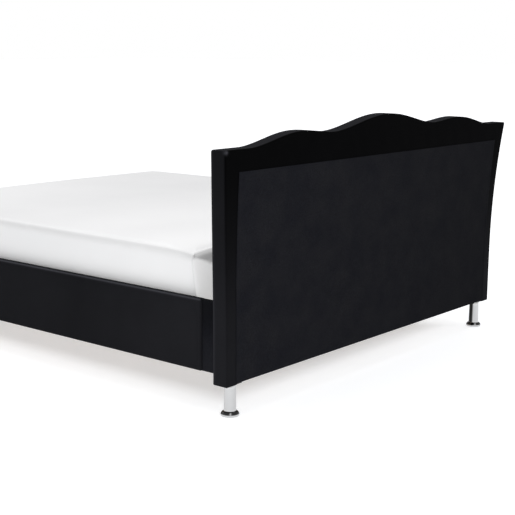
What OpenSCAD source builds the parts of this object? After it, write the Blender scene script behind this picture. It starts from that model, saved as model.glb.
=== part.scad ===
// Upholstered double bed with a scalloped headboard that sweeps back at the top.
// Millimetres, +Z up. The origin is on the floor at the centre of the bed's
// outer box; the headboard is at +Y and the footboard at -Y.

/* [Mattress] */
// Width of the mattress
mattress_w = 1790; // [1390:10:1990]
// Length of the mattress
mattress_l = 2000; // [1900:10:2100]
// Thickness of the mattress with its sheet
mattress_h = 230; // [180:5:280]
// Height of the mattress underside above the floor
mattress_z = 357; // [357:1:375]

/* [Headboard] */
// Thickness of the headboard at its side edge
headboard_t = 70; // [64:1:90]
// Height of the two top corners
corner_z = 964; // [930:1:1000]
// Height of the valleys between the humps
valley_z = 994; // [965:1:1010]
// Height of the two side humps
crest_z = 1008; // [1000:1:1030]
// Height of the centre hump
peak_z = 1046; // [1030:1:1080]
// How far each side flares outward at the corner
headboard_flare = 41; // [0:1:60]
// How far the top sweeps back at the centre hump
headboard_lean = 37; // [0:1:60]
// Distance of the mattress from the back of the headboard
head_gap = 195; // [170:1:230]

/* [Frame] */
// Height of the underside of the headboard and the footboard
base_z = 124; // [110:1:135]
// Height of the underside of the side rails
rail_z = 156; // [140:1:165]
// Height of the top of the side rails and the footboard
rail_top_z = 421; // [405:1:440]
// Thickness of a side rail
rail_t = 32; // [30:1:45]
// Number of slats on each side
slat_count = 14; // [10:1:18]

/* [Legs] */
// Radius of a chrome leg
leg_r = 22.5; // [18:0.5:26]
// Radius of a levelling foot
foot_r = 35; // [28:1:40]

/* [Hidden] */
$fn = 64;
fit = 0.2;                      // gap round a piece that sits in another
cloth = 3;                      // thickness of a fabric cover with its wadding
wall_in = 5;                    // free space between mattress and frame
inner_x = mattress_w / 2 + wall_in;
rail_x = inner_x + rail_t;      // outer face of a side rail
end_x = rail_x + 8;             // half width of headboard and footboard at their foot
footboard_t = 70;
bed_l = headboard_lean + head_gap + mattress_l + wall_in + footboard_t;
back_y = bed_l / 2 - headboard_lean;       // back of the headboard, below the sweep
front_y = back_y - headboard_t;            // front of the headboard
foot_y = -bed_l / 2;                       // outer face of the footboard
foot_in_y = foot_y + footboard_t;
flare_z = 300;
lean_z = 400;
valley_x = 0.381 * end_x;
crest_x = 0.588 * end_x;
shoulder_x = 0.899 * end_x;

// headboard layers, each a [back, front] distance in front of its back plane
dust_layer = [-1.5, 0];
frame_layer = [cloth, 44];
board_layer = [44, 50];
foam_layer = [50, headboard_t - cloth];
pad_out = headboard_t + 8;
pad_margin = 60;
pad_z = 470;
foam_z = 430;                   // below this the front is hard for the rail fittings
border_w = 47;                  // upholstered border round the dust cover
dust_top_z = 886;
post_w = 90;
post_in = end_x - cloth - post_w;
rail_depth = 90;
low_rail_top = base_z + cloth + rail_depth;
mid_rail_z = 470;
top_board_z = 880;
upright_xs = [-330, 330];
upright_half = 35;
window_in = 18;                 // opening behind the dust cover, in from its edge

button_rows = 5;
button_pitch = 150;
button_z = 520;
button_top = 80;                // top row of buttons below the scalloped edge
button_side = 115;              // outermost buttons in from the foot of the side edge
button_r = 13;
button_h = 6;
tuft_depth = 11;                // how far the buttons are pulled into the pad
tuft_r = 30;

bracket_z = 212;
bracket_h = 150;
bracket_t = 3;
bracket_arm = 60;
bolt_r = 4;
bolt_head_r = 7.5;
bolt_head_h = 5.3;
panel_bolt_l = 52;              // shank of the bolts through headboard and footboard
rail_bolt_l = 19;
bolt_zs = [bracket_z + 30, bracket_z + bracket_h - 30];
panel_bolt_x = inner_x - 32;
rail_bolt_ys = [front_y - 40, foot_in_y + 40];

ledge_w = 30;
ledge_z = 300;
ledge_top_z = 335;
beam_w = 60;
beam_h = 40;
beam_wall = 2;
plug_l = 12;
hanger_half = 55;               // half width of a hanger's plate
hanger_reach = 45;              // length of its saddle
hanger_t = 3;
support_ys = [-640, 0, 640];
support_r = 16;
support_z = 22;                 // underside of a support leg's tube
glide_r = 20;

slat_w = 53;
slat_t = 8;
slat_rise = 8.5;
slat_z = mattress_z - 0.5 - slat_t - slat_rise;
cap_l = 58;
cap_w = 30;
slat_tip = 14;                  // length of slat inside a cap
slat_first_y = foot_in_y + 110;
slat_last_y = front_y - 110;

leg_x = end_x - 59;
leg_in = 38;                    // from the outer face of headboard or footboard
plate_t = 3;
plate_s = 60;
screw_at = 23;
screw_r = 2;
screw_l = 26;
tube_wall = 1.5;
foot_rim = 8;
foot_h = 15;
tube_z = foot_h + 1;
stud_r = 5;

cover_gap = 52;                 // bare rail between its padded cover and the headboard
corner_r = 20;
sheet_t = 1.7;
layer_t = 18;                   // comfort layer above and below the springs
border_t = 40;                  // firm foam round the springs
pocket_r = 36;
pocket_pitch = 70;
strip_pitch = 73;
pocket_wall = 1.5;
hem_w = 70;                     // the sheet turns this far under the mattress

black = [0.03, 0.03, 0.035];
lining = [0.07, 0.07, 0.075];
timber = [0.76, 0.62, 0.42];
foam = [0.93, 0.9, 0.78];
steel = [0.2, 0.2, 0.21];
chrome = [0.86, 0.87, 0.88];
white = [0.95, 0.95, 0.95];

// One row for each corner: name of the leg, name of its foot, and their x and y
legs = [
    ["rear_left_leg", "rear_left_foot", -leg_x, back_y - leg_in],
    ["rear_right_leg", "rear_right_foot", leg_x, back_y - leg_in],
    ["front_left_leg", "front_left_foot", -leg_x, foot_y + leg_in],
    ["front_right_leg", "front_right_foot", leg_x, foot_y + leg_in],
];
support_feet = ["front_support_foot", "middle_support_foot", "rear_support_foot"];

// ---------------------------------------------------------------- curves

// Outward flare of a headboard side and backward sweep of the panel, at height z
function flare(z) = headboard_flare * pow(max(0, z - flare_z) / (corner_z - flare_z), 2);
function lean(z) = headboard_lean * pow(max(0, z - lean_z) / (peak_z - lean_z), 2);

// A rounded hump: 1 at its crest, 0 and level at t = 1
function hump(t) = pow(cos(90 * min(abs(t), 1)), 1.7);

// Height of the scalloped top edge at x
function top_z(x) =
    let (a = abs(x))
    a < valley_x ? valley_z + (peak_z - valley_z) * hump(a / valley_x)
    : a < crest_x ? valley_z + (crest_z - valley_z) * hump((crest_x - a) / (crest_x - valley_x))
    : corner_z + (crest_z - corner_z) * hump((a - crest_x) / (shoulder_x - crest_x));

// Outline of the headboard seen from the front, drawn in by inset, from z_low up
function side_points(inset, z_low) =
    [for (i = [0:12]) let (z = z_low + (corner_z - inset - z_low) * i / 12)
        [end_x + flare(z) - inset, z]];
function top_points(inset) =
    let (x1 = end_x + flare(corner_z - inset) - inset)
    [for (i = [1:55]) let (x = x1 * (1 - 2 * i / 56)) [x, top_z(x) - inset]];
function mirrored(points) =
    [for (i = [len(points) - 1:-1:0]) [-points[i][0], points[i][1]]];
function outline(inset, z_low) =
    let (side = side_points(inset, z_low))
    concat(side, top_points(inset), mirrored(side));

// Outline of the dust cover, drawn in by inset
function dust_outline(inset) =
    let (side = [for (i = [0:10])
        let (z = base_z + 2 + inset + (dust_top_z - base_z - 2 - 2 * inset) * i / 10)
        [end_x - border_w + 0.3 * flare(z) - inset, z]])
    concat(side, mirrored(side));

// Profile of a headboard layer seen from the side
function layer_profile(layer, z0, z1) =
    let (n = 16, zs = [for (i = [0:n]) z0 + (z1 - z0) * i / n])
    concat([for (z = zs) [back_y + lean(z) - layer[0], z]],
           [for (i = [n:-1:0]) [back_y + lean(zs[i]) - layer[1], zs[i]]]);

// ------------------------------------------------------- building blocks

// Box given by its low and high corners
module block(low, high) {
    translate(low) cube(high - low);
}

// Copies a piece made for the right side to the left side too
module both_sides() {
    children();
    mirror([1, 0, 0]) children();
}

// A piece made for the right, shown on the side that s gives: 1 right, -1 left
module on_side(s) {
    if (s > 0) children();
    else mirror([1, 0, 0]) children();
}

// Extrudes an outline in x and z through the whole depth of the headboard
module through_y(points) {
    translate([0, back_y + 200, 0])
        rotate([90, 0, 0])
            linear_extrude(height = 500) polygon(points);
}

// Extrudes a profile in y and z over the whole width of the bed
module through_x(points) {
    translate([-end_x - 150, 0, 0])
        rotate([90, 0, 90])
            linear_extrude(height = 2 * end_x + 300) polygon(points);
}

// One curved layer of the headboard, cut to an outline
module headboard_layer(layer, points) {
    intersection() {
        through_y(points);
        through_x(layer_profile(layer, base_z - 10, peak_z + 20));
    }
}

// Cylinder along Y that starts at the given point
module rod_y(x, y, z, r, l) {
    translate([x, y, z]) rotate([-90, 0, 0]) cylinder(h = l, r = r);
}

// Cylinder along X that starts at the given point
module rod_x(x, y, z, r, l) {
    translate([x, y, z]) rotate([0, 90, 0]) cylinder(h = l, r = r);
}

// Holes for the bolts that hold the rail brackets to the headboard and the footboard
module bracket_bolt_holes() {
    both_sides()
        for (z = bolt_zs)
            for (y = [front_y - 5, foot_in_y - panel_bolt_l + 1])
                rod_y(panel_bolt_x, y, z, bolt_r + fit, 56);
}

// Holes for the screws that hold the leg plates
module leg_screw_holes() {
    for (leg = legs)
        for (dx = [-screw_at, screw_at])
            for (dy = [-screw_at, screw_at])
                translate([leg[2] + dx, leg[3] + dy, base_z - 10]) cylinder(h = screw_l + 10, r = screw_r + fit);
}

// ------------------------------------------------------------- headboard

module headboard_posts() {
    color(timber) difference() {
        headboard_layer(frame_layer, outline(cloth, base_z + cloth));
        block([-post_in, back_y - 100, 0], [post_in, back_y + 100, peak_z]);
        bracket_bolt_holes();
        leg_screw_holes();
    }
}

// Piece of the headboard frame, cut to the curve of its layer
module frame_piece(x0, x1, z0, z1) {
    intersection() {
        through_x(layer_profile(frame_layer, base_z - 10, peak_z + 20));
        block([x0, back_y - 100, z0], [x1, back_y + 100, z1]);
    }
}

module headboard_bottom_rail() {
    color(timber) frame_piece(-post_in, post_in, base_z + cloth, low_rail_top);
}

module headboard_middle_rail() {
    color(timber) frame_piece(-post_in, post_in, mid_rail_z, mid_rail_z + rail_depth);
}

module headboard_uprights() {
    color(timber)
        for (x = upright_xs) {
            frame_piece(x - upright_half, x + upright_half, low_rail_top, mid_rail_z);
            frame_piece(x - upright_half, x + upright_half,
                        mid_rail_z + rail_depth, top_board_z);
        }
}

module headboard_top_board() {
    color(timber) intersection() {
        headboard_layer(frame_layer, outline(cloth, base_z + cloth));
        block([-post_in, back_y - 100, top_board_z], [post_in, back_y + 100, peak_z + 10]);
    }
}

module headboard_front_board() {
    color(timber) difference() {
        headboard_layer(board_layer, outline(cloth, base_z + cloth));
        bracket_bolt_holes();
    }
}

module headboard_filler_board() {
    color(timber) difference() {
        intersection() {
            headboard_layer(foam_layer, outline(cloth, base_z + cloth));
            block([-end_x, back_y - 100, 0], [end_x, back_y + 100, foam_z]);
        }
        bracket_bolt_holes();
        leg_screw_holes();
    }
}

// Raised pad of the headboard front, drawn in by inset and as thick as the layer
module raised_pad(inset, layer) {
    headboard_layer(layer, outline(pad_margin + inset, pad_z + inset));
}

// Place of each tufting button: rows rise with the scalloped edge and every other
// row is shifted by half a pitch
function button_spots() = [
    for (row = [0:button_rows - 1])
        let (odd = row % 2, half = floor((end_x - button_side) / button_pitch - odd / 2))
        for (k = [-half - odd:half])
            let (x = (k + odd / 2) * button_pitch,
                 share = row / (button_rows - 1))
            [x, button_z + (top_z(x) - button_top - button_z) * share]
];

// Dimples that the buttons pull into the pad, wider and deeper by grow
module tufts(grow) {
    depth = tuft_depth + grow;
    for (spot = button_spots())
        translate([spot[0], back_y + lean(spot[1]) - pad_out + depth, spot[1]])
            rotate([90, 0, 0])
                cylinder(h = depth + 10, r1 = button_r + 1 + grow,
                         r2 = button_r + 1 + grow + (tuft_r - button_r) * (depth + 10) / depth);
}

module headboard_foam() {
    color(foam) difference() {
        union() {
            headboard_layer([foam_layer[0], foam_layer[1] - fit],
                            outline(cloth + fit, base_z + cloth));
            raised_pad(cloth + fit, [foam_layer[1] - 1, pad_out - cloth - fit]);
        }
        block([-end_x, back_y - 100, 0], [end_x, back_y + 100, foam_z]);
        tufts(cloth + fit);
    }
}

module headboard_cover() {
    color(black) difference() {
        union() {
            headboard_layer([0, headboard_t], outline(0, base_z));
            raised_pad(0, [headboard_t - 1, pad_out]);
        }
        difference() {
            union() {
                headboard_layer([cloth, headboard_t - cloth], outline(cloth, base_z + cloth));
                raised_pad(cloth, [headboard_t - cloth - 1, pad_out - cloth]);
            }
            tufts(cloth);
        }
        tufts(0);
        headboard_layer([-5, cloth + 1], dust_outline(window_in));
        bracket_bolt_holes();
        leg_screw_holes();
    }
}

module headboard_dust_cover() {
    color(lining) headboard_layer(dust_layer, dust_outline(0));
}

module headboard_buttons() {
    dome_r = (button_r * button_r + button_h * button_h) / (2 * button_h);
    color(black)
        for (spot = button_spots())
            translate([spot[0], back_y + lean(spot[1]) - pad_out + tuft_depth, spot[1]])
                rotate([90, 0, 0])
                    rotate_extrude()
                        intersection() {
                            square([button_r, button_h]);
                            translate([0, button_h - dome_r]) circle(r = dome_r);
                        }
}

// ------------------------------------------------------------- footboard

footboard_in = foot_in_y - cloth;
footboard_out = foot_y + cloth + 8;
foot_timber = 55;               // width of the footboard's timbers

module footboard_posts() {
    x0 = end_x - cloth;
    z0 = base_z + cloth;
    z1 = rail_top_z - cloth;
    color(timber) difference() {
        union() {
            both_sides() block([post_in, footboard_out, z0], [x0, footboard_in, z1]);
            block([-upright_half, footboard_out, z0 + foot_timber],
                  [upright_half, footboard_in, z1 - foot_timber]);
        }
        bracket_bolt_holes();
        leg_screw_holes();
    }
}

module footboard_rails() {
    z0 = base_z + cloth;
    z1 = rail_top_z - cloth;
    color(timber)
        for (z = [z0, z1 - foot_timber])
            block([-post_in, footboard_out, z], [post_in, footboard_in, z + foot_timber]);
}

module footboard_foam() {
    color(foam)
        block([-end_x + cloth, foot_y + cloth, base_z + cloth],
              [end_x - cloth, footboard_out, rail_top_z - cloth]);
}

module footboard_cover() {
    color(black) difference() {
        block([-end_x, foot_y, base_z], [end_x, foot_in_y, rail_top_z]);
        block([-end_x + cloth, foot_y + cloth, base_z + cloth],
              [end_x - cloth, footboard_in, rail_top_z - cloth]);
        bracket_bolt_holes();
        leg_screw_holes();
    }
}

// ------------------------------------------------------------ side rails

lip = 2;                        // fabric thickness where it is stapled flat
board_x = [inner_x + lip, rail_x - 10];
staple_w = 40;                  // width of the cover's flap on the inside of the board
wrap_w = 30;                    // the same for the end wrap
ledge_gap = 65;                 // from headboard and footboard to the end of a ledge

// Holes for the bolts that hold the brackets to a right rail board
module rail_bolt_holes() {
    for (z = bolt_zs)
        for (y = rail_bolt_ys)
            rod_x(inner_x - 10, y, z, bolt_r + fit, rail_bolt_l + 10);
}

module rail_board(s) {
    color(timber) on_side(s) difference() {
        block([board_x[0], foot_in_y, rail_z + lip], [board_x[1], front_y, rail_top_z - lip]);
        rail_bolt_holes();
    }
}

module rail_foam(s) {
    color(foam) on_side(s)
        block([board_x[1], foot_in_y + lip, rail_z + lip],
              [rail_x - lip, front_y - cover_gap - lip, rail_top_z - lip]);
}

// Fabric cover: wraps the outer face, the top and the bottom, and is stapled inside
module rail_cover(s) {
    color(black) on_side(s) difference() {
        block([inner_x, foot_in_y, rail_z], [rail_x, front_y - cover_gap, rail_top_z]);
        block([board_x[0], foot_in_y - 1, rail_z + lip],
              [board_x[1], front_y, rail_top_z - lip]);
        block([board_x[1] - 1, foot_in_y + lip, rail_z + lip],
              [rail_x - lip, front_y - cover_gap - lip, rail_top_z - lip]);
        block([inner_x - 1, foot_in_y - 1, rail_z + staple_w],
              [board_x[0] + 1, front_y, rail_top_z - staple_w]);
    }
}

// Thin black sleeve round the bare end of a rail board, next to the headboard
module rail_end_wrap(s) {
    y0 = front_y - cover_gap;
    color(lining) on_side(s) difference() {
        block([board_x[0] - 1, y0 + 0.3, rail_z + 1], [board_x[1] + 1, front_y, rail_top_z - 1]);
        block([board_x[0], y0 - 1, rail_z + lip], [board_x[1], front_y + 1, rail_top_z - lip]);
        block([board_x[0] - 3, y0 - 1, rail_z + wrap_w],
              [board_x[0] + 1, front_y + 1, rail_top_z - wrap_w]);
    }
}

module slat_ledge(s) {
    color(timber) on_side(s)
        block([board_x[0] - ledge_w, foot_in_y + ledge_gap, ledge_z],
              [board_x[0], front_y - ledge_gap, ledge_top_z]);
}

// -------------------------------------------------------------- brackets

// Angle bracket on the right rail board, against a panel whose face is at y;
// out is 1 where the bed lies on the +Y side of the panel
module rail_bracket(y, out) {
    x1 = board_x[0];
    difference() {
        union() {
            block([x1 - bracket_t, min(y, y + out * bracket_arm), bracket_z],
                  [x1, max(y, y + out * bracket_arm), bracket_z + bracket_h]);
            block([x1 - bracket_arm, min(y, y + out * bracket_t), bracket_z],
                  [x1, max(y, y + out * bracket_t), bracket_z + bracket_h]);
        }
        bracket_bolt_holes();
        rail_bolt_holes();
    }
}

module head_rail_brackets() {
    color(steel) both_sides() rail_bracket(front_y, -1);
}

module foot_rail_brackets() {
    color(steel) both_sides() rail_bracket(foot_in_y, 1);
}

// Hexagon head and shank; the shank points along +Z from the head
module hex_bolt(l) {
    translate([0, 0, -bolt_head_h]) cylinder(h = bolt_head_h, r = bolt_head_r, $fn = 6);
    cylinder(h = l, r = bolt_r);
}

module head_bracket_bolts() {
    color(steel) both_sides()
        for (z = bolt_zs)
            translate([panel_bolt_x, front_y - bracket_t, z])
                rotate([-90, 0, 0]) hex_bolt(panel_bolt_l);
}

module foot_bracket_bolts() {
    color(steel) both_sides()
        for (z = bolt_zs)
            translate([panel_bolt_x, foot_in_y + bracket_t, z])
                rotate([90, 0, 0]) hex_bolt(panel_bolt_l);
}

module rail_bracket_bolts() {
    color(steel) both_sides()
        for (z = bolt_zs)
            for (y = rail_bolt_ys)
                translate([board_x[0] - bracket_t, y, z]) rotate([0, 90, 0]) hex_bolt(rail_bolt_l);
}

// ------------------------------------------------------ slats and centre

function slat_y(i) = slat_first_y + (slat_last_y - slat_first_y) * i / (slat_count - 1);

slat_x0 = beam_w / 2 - 1 - slat_tip;
slat_x1 = board_x[0] - cap_w + slat_tip;

// Bowed beech slat on the right side, seen from the end of the bed
function slat_arch(x) =
    let (t = (2 * x - slat_x0 - slat_x1) / (slat_x1 - slat_x0))
    slat_z + slat_rise * (1 - t * t);

module slats(s) {
    xs = [for (i = [0:16]) slat_x0 + (slat_x1 - slat_x0) * i / 16];
    points = concat([for (x = xs) [x, slat_arch(x)]],
                    [for (i = [16:-1:0]) [xs[i], slat_arch(xs[i]) + slat_t]]);
    color("burlywood") on_side(s)
        for (i = [0:slat_count - 1])
            translate([0, slat_y(i) + slat_w / 2, 0])
                rotate([90, 0, 0])
                    linear_extrude(height = slat_w) polygon(points);
}

// Pocket in a cap for the tip of a right slat
module slat_pocket(x0, x1, y) {
    block([x0, y - slat_w / 2 - 0.5, slat_z],
          [x1, y + slat_w / 2 + 0.5, slat_z + slat_t + 1]);
}

module slat_caps(s) {
    color("dimgray") on_side(s)
        for (i = [0:slat_count - 1])
            difference() {
                block([board_x[0] - cap_w, slat_y(i) - cap_l / 2 - 2, ledge_top_z],
                      [board_x[0] - 0.3, slat_y(i) + cap_l / 2 + 2, slat_z + slat_t + 4]);
                slat_pocket(board_x[0] - cap_w - 1, slat_x1 + 0.5, slat_y(i));
            }
}

module centre_slat_caps() {
    half = beam_w / 2 - 1;
    color("dimgray")
        for (i = [0:slat_count - 1])
            difference() {
                block([-half, slat_y(i) - cap_l / 2 - 2, ledge_top_z],
                      [half, slat_y(i) + cap_l / 2 + 2, slat_z + slat_t + 4]);
                both_sides() slat_pocket(slat_x0 - 0.5, half + 1, slat_y(i));
            }
}

beam_y = [foot_in_y + 5, front_y - 5];

module centre_beam() {
    color(steel) difference() {
        block([-beam_w / 2, beam_y[0], ledge_top_z - beam_h],
              [beam_w / 2, beam_y[1], ledge_top_z]);
        block([-beam_w / 2 + beam_wall, beam_y[0] - 1, ledge_top_z - beam_h + beam_wall],
              [beam_w / 2 - beam_wall, beam_y[1] + 1, ledge_top_z - beam_wall]);
    }
}

module beam_end_plugs() {
    wall = beam_wall + fit;
    color("black")
        for (y = [beam_y[0] + 0.5, beam_y[1] - plug_l - 0.5])
            block([-beam_w / 2 + wall, y, ledge_top_z - beam_h + wall],
                  [beam_w / 2 - wall, y + plug_l, ledge_top_z - wall]);
}

// Welded steel saddle that carries the beam's end, on a panel whose face is at y
module beam_hanger(y, out) {
    z0 = ledge_top_z - beam_h;
    half = beam_w / 2 + fit;
    plate_ys = [min(y, y + out * 4), max(y, y + out * 4)];
    saddle_ys = [min(y, y + out * hanger_reach), max(y, y + out * hanger_reach)];
    block([-hanger_half, plate_ys[0], z0 - 30], [hanger_half, plate_ys[1], ledge_top_z]);
    block([-half - hanger_t, saddle_ys[0], z0 - hanger_t], [half + hanger_t, saddle_ys[1], z0]);
    both_sides()
        block([half, saddle_ys[0], z0 - hanger_t], [half + hanger_t, saddle_ys[1], z0 + 24]);
}

module beam_hangers() {
    color(steel) {
        beam_hanger(front_y, -1);
        beam_hanger(foot_in_y, 1);
    }
}

module support_legs() {
    z1 = ledge_top_z - beam_h;
    color(steel)
        for (y = support_ys)
            translate([0, y, 0]) {
                difference() {
                    translate([0, 0, support_z])
                        cylinder(h = z1 - support_z - plate_t, r = support_r);
                    translate([0, 0, support_z - 1])
                        cylinder(h = z1 - support_z - plate_t - 1, r = support_r - tube_wall);
                }
                difference() {
                    translate([0, 0, support_z]) cylinder(h = 16, r = support_r - tube_wall);
                    translate([0, 0, support_z - 1]) cylinder(h = 18, r = stud_r + fit);
                }
                block([-plate_s / 2, -plate_s / 2, z1 - plate_t], [plate_s / 2, plate_s / 2, z1]);
            }
}

// Screw-in glide of the n-th support leg
module support_foot(n) {
    color("black") translate([0, support_ys[n], 0]) {
        cylinder(h = 6, r = glide_r);
        translate([0, 0, 6]) cylinder(h = 12, r1 = glide_r, r2 = 9);
        translate([0, 0, 18]) cylinder(h = 40, r = stud_r);
    }
}

// ------------------------------------------------------------------ legs

module leg_tube(n) {
    color(chrome) translate([legs[n][2], legs[n][3], tube_z])
        difference() {
            cylinder(h = base_z - plate_t - tube_z, r = leg_r);
            translate([0, 0, -1]) cylinder(h = base_z, r = leg_r - tube_wall);
        }
}

module leg_plates() {
    color(steel) difference() {
        for (leg = legs)
            translate([leg[2] - plate_s / 2, leg[3] - plate_s / 2, base_z - plate_t])
                cube([plate_s, plate_s, plate_t]);
        leg_screw_holes();
    }
}

module leg_screws() {
    color(steel)
        for (leg = legs)
            for (dx = [-screw_at, screw_at])
                for (dy = [-screw_at, screw_at])
                    translate([leg[2] + dx, leg[3] + dy, base_z - plate_t]) {
                        translate([0, 0, -2]) cylinder(h = 2, r1 = 2.5, r2 = 3.8);
                        cylinder(h = screw_l, r = screw_r);
                    }
}

// Threaded insert in the bottom of each leg tube
module leg_nut_inserts() {
    color("dimgray")
        for (leg = legs)
            translate([leg[2], leg[3], tube_z])
                difference() {
                    cylinder(h = 20, r = leg_r - tube_wall - 0.1);
                    translate([0, 0, -1]) cylinder(h = 22, r = stud_r + 0.1);
                }
}

// Chrome levelling foot of the n-th leg, with its stud
module levelling_foot(n) {
    color(chrome) translate([legs[n][2], legs[n][3], 0]) {
        cylinder(h = foot_rim, r = foot_r);
        translate([0, 0, foot_rim])
            cylinder(h = foot_h - foot_rim, r1 = foot_r, r2 = leg_r + 1);
        translate([0, 0, foot_h]) cylinder(h = 40, r = stud_r);
    }
}

// -------------------------------------------------------------- mattress

mattress_y = back_y - head_gap - mattress_l / 2;

// Slab with rounded upright corners, drawn in by inset on every side
module soft_slab(inset, z0, z1) {
    w = mattress_w / 2 - inset;
    l = mattress_l / 2 - inset;
    r = max(corner_r - inset, 10);
    translate([0, mattress_y, z0])
        linear_extrude(height = z1 - z0)
            union() {
                square([2 * w, 2 * (l - r)], center = true);
                square([2 * (w - r), 2 * l], center = true);
                for (x = [-w + r, w - r])
                    for (y = [-l + r, l - r])
                        translate([x, y]) circle(r = r);
            }
}

core_in = sheet_t + fit;        // from the sheet's outside to the mattress
core_z0 = mattress_z + core_in;
core_z1 = mattress_z + mattress_h - core_in;

module mattress_base_layer() {
    color("ivory") soft_slab(core_in, core_z0, core_z0 + layer_t);
}

module mattress_top_layer() {
    color("ivory") soft_slab(core_in, core_z1 - layer_t, core_z1);
}

module mattress_border() {
    color("gold") difference() {
        soft_slab(core_in, core_z0 + layer_t, core_z1 - layer_t);
        soft_slab(core_in + border_t, core_z0, core_z1);
    }
}

// Rows of fabric pockets; each row is one strip and each pocket holds a coil spring
module mattress_springs() {
    room = core_in + border_t;
    pockets = floor((mattress_w - 2 * room - 4) / pocket_pitch);
    strips = floor((mattress_l - 2 * room) / strip_pitch);
    color("whitesmoke")
        for (j = [0:strips - 1])
            translate([0, mattress_y + (j - (strips - 1) / 2) * strip_pitch, core_z0 + layer_t])
                linear_extrude(height = core_z1 - core_z0 - 2 * layer_t)
                    difference() {
                        pocket_row(pockets, pocket_r);
                        pocket_row(pockets, pocket_r - pocket_wall);
                    }
}

module pocket_row(n, r) {
    for (k = [0:n - 1])
        translate([(k - (n - 1) / 2) * pocket_pitch, 0]) circle(r = r);
}

// Fitted sheet: a thin skin that turns under the mattress by a hem's width
module fitted_sheet() {
    color(white) difference() {
        soft_slab(0, mattress_z, mattress_z + mattress_h);
        soft_slab(sheet_t, mattress_z + sheet_t, mattress_z + mattress_h - sheet_t);
        soft_slab(hem_w, mattress_z - 1, mattress_z + sheet_t + 1);
    }
}

// ----------------------------------------------------------------- nodes

headboard_posts();
headboard_bottom_rail();
headboard_middle_rail();
headboard_uprights();
headboard_top_board();
headboard_front_board();
headboard_filler_board();
headboard_foam();
headboard_cover();
headboard_dust_cover();
headboard_buttons();
footboard_posts();
footboard_rails();
footboard_foam();
footboard_cover();
rail_board(-1);  // left_rail_board
rail_board(1);  // right_rail_board
rail_foam(-1);  // left_rail_foam
rail_foam(1);  // right_rail_foam
rail_cover(-1);  // left_rail_cover
rail_cover(1);  // right_rail_cover
rail_end_wrap(-1);  // left_rail_end_wrap
rail_end_wrap(1);  // right_rail_end_wrap
slat_ledge(-1);  // left_slat_ledge
slat_ledge(1);  // right_slat_ledge
slats(-1);  // left_slats
slats(1);  // right_slats
slat_caps(-1);  // left_slat_caps
slat_caps(1);  // right_slat_caps
centre_slat_caps();
head_rail_brackets();
foot_rail_brackets();
head_bracket_bolts();
foot_bracket_bolts();
rail_bracket_bolts();
centre_beam();
beam_hangers();
beam_end_plugs();
support_legs();
for (n = [0:2])
    support_foot(n);
for (n = [0:3])
    leg_tube(n);
leg_plates();
leg_screws();
leg_nut_inserts();
for (n = [0:3])
    levelling_foot(n);
mattress_base_layer();
mattress_border();
mattress_springs();
mattress_top_layer();
fitted_sheet();
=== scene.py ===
"""Looks for the upholstered bed: velvet covers, fitted sheet, chrome legs, materials, light and camera.

Metres, +Z up, headboard at +Y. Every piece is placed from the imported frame.
"""

import math

import bpy
import numpy as np
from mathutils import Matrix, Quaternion, Vector


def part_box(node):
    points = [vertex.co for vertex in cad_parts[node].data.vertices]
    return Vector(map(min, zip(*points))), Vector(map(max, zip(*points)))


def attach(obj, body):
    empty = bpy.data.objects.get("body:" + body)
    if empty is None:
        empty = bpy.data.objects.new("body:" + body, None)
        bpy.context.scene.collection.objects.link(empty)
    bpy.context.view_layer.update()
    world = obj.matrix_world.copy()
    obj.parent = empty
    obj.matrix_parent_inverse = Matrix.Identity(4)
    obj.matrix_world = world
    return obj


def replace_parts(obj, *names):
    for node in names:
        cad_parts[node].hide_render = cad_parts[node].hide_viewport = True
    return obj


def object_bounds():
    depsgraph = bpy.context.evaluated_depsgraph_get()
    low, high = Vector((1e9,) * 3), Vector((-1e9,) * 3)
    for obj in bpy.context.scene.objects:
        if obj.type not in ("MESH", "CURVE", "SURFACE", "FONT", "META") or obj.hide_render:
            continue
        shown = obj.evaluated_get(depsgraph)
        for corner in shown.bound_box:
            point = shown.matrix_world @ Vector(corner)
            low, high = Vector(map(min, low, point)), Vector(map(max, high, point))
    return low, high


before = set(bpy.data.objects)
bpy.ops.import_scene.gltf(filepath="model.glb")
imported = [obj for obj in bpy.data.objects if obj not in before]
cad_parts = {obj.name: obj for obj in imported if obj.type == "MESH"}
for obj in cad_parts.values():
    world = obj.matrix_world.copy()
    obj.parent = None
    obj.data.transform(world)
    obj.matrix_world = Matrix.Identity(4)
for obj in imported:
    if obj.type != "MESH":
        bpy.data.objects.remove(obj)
cad_low, cad_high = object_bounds()
MM = 0.001

# ------------------------------------------------------------ sizes from the frame

cover_low, cover_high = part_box("headboard_cover")
foot_low, foot_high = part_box("footboard_cover")
sheet_low, sheet_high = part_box("fitted_sheet")

CLOTH = 3 * MM
END_X = foot_high.x
BASE_Z = cover_low.z
PEAK_Z = cover_high.z
CORNER_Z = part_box("headboard_posts")[1].z + CLOTH
VALLEY_Z = CORNER_Z + 30 * MM
CREST_Z = CORNER_Z + 44 * MM
BACK_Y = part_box("headboard_bottom_rail")[1].y + CLOTH
LEAN = cad_high.y - BACK_Y
FLARE = cover_high.x - END_X
HEAD_T = 70 * MM
PAD_OUT = 78 * MM
FLARE_Z = 0.3
LEAN_Z = 0.4
VALLEY_X = 0.381 * END_X
CREST_X = 0.588 * END_X
SHOULDER_X = 0.899 * END_X

PAD_MARGIN = 60 * MM
PAD_Z = 0.47
BUTTON_ROWS = 5
BUTTON_PITCH = 0.15
BUTTON_Z = 0.52
BUTTON_TOP = 0.08
BUTTON_SIDE = 0.115
TUFT_DEPTH = 11 * MM

BORDER_W = 47 * MM
DUST_TOP_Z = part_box("headboard_dust_cover")[1].z
SEED = 7


def flare(z):
    return FLARE * (np.maximum(0, z - FLARE_Z) / (CORNER_Z - FLARE_Z)) ** 2


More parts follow.
